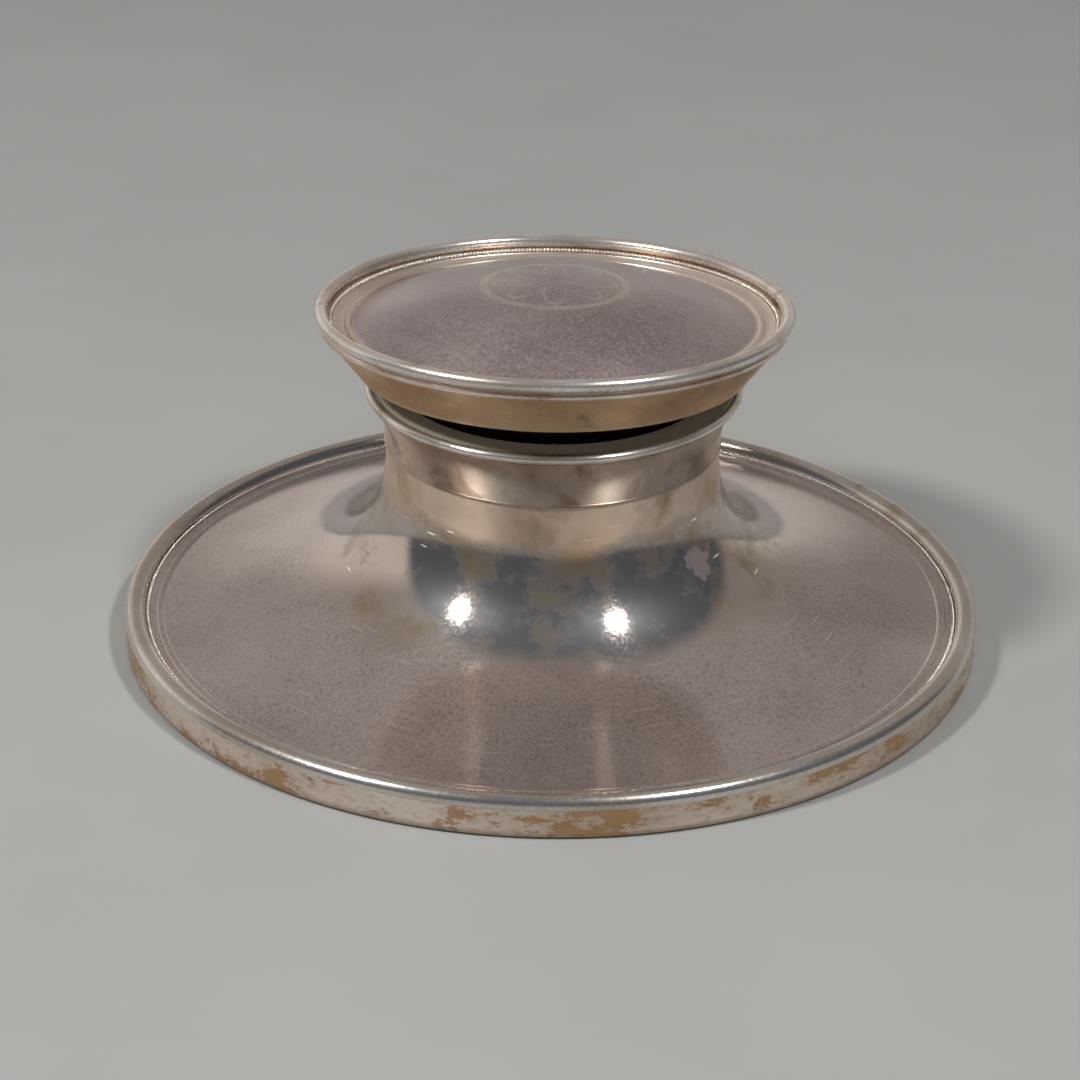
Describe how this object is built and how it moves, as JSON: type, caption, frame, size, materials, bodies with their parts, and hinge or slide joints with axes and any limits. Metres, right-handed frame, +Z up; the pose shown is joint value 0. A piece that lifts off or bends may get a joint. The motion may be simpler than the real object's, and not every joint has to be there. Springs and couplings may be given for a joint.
{
  "type": "desk inkstand",
  "caption": "Round silver desk inkstand: a wide weighted saucer base, a waisted neck with a lift-out glass ink pot, and a domed lid hinged at the back.",
  "frame": {"origin": "middle of the underside of the baize, on the table", "axes": "+Z up along the neck's axis; -Y is the front, the side the lid opens on; the hinge is at +Y, its pin along X"},
  "size_m": [0.15, 0.15, 0.0649],
  "materials": {
    "baize": "matte",
    "base_wood": "satin",
    "plaster": "matte",
    "side_silver": "satin",
    "body_silver": "polished",
    "edge_silver": "polished",
    "milled_silver": "satin",
    "mouth_silver": "polished",
    "hinge_silver": "satin",
    "cup_gilt": "satin",
    "lid_wall_silver": "polished",
    "rim_silver": "polished",
    "dome_silver": "satin",
    "lining_gilt": "satin",
    "pot_glass": "gloss"
  },
  "bodies": {
    "body": {"baize_pad": "baize", "base_board": "base_wood", "base_loading": "plaster", "base_side_wall": "side_silver", "body_shell": "body_silver", "base_edge_moulding": "edge_silver", "base_milled_wire": "milled_silver", "neck_collar": "mouth_silver", "mouth_ring": "mouth_silver", "well_cup": "cup_gilt", "body_hinge_bearer": "hinge_silver", "hinge_knuckle_left": "hinge_silver", "hinge_knuckle_right": "hinge_silver", "hinge_pin": "hinge_silver"},
    "lid": {"lid_seat_ring": "lid_wall_silver", "lid_wall": "lid_wall_silver", "lid_ridge_wire": "rim_silver", "lid_rim_wire": "rim_silver", "lid_dome_plate": "dome_silver", "lid_milled_wire": "milled_silver", "lid_lining": "lining_gilt", "lid_hinge_bearer": "hinge_silver", "hinge_knuckle_middle": "hinge_silver"},
    "ink_pot": {"glass_ink_pot": "pot_glass"}
  },
  "joints": [
    {"name": "lid_hinge", "type": "hinge", "parent": "body", "child": "lid", "pos_m": [0, 0.03569, 0.0466], "axis": [-1, 0, 0], "range_deg": [-3.8, 101.2]},
    {"name": "ink_pot_lift", "type": "slide", "parent": "body", "child": "ink_pot", "axis": [0, 0, 1], "range_m": [0, 0.0085]}
  ]
}
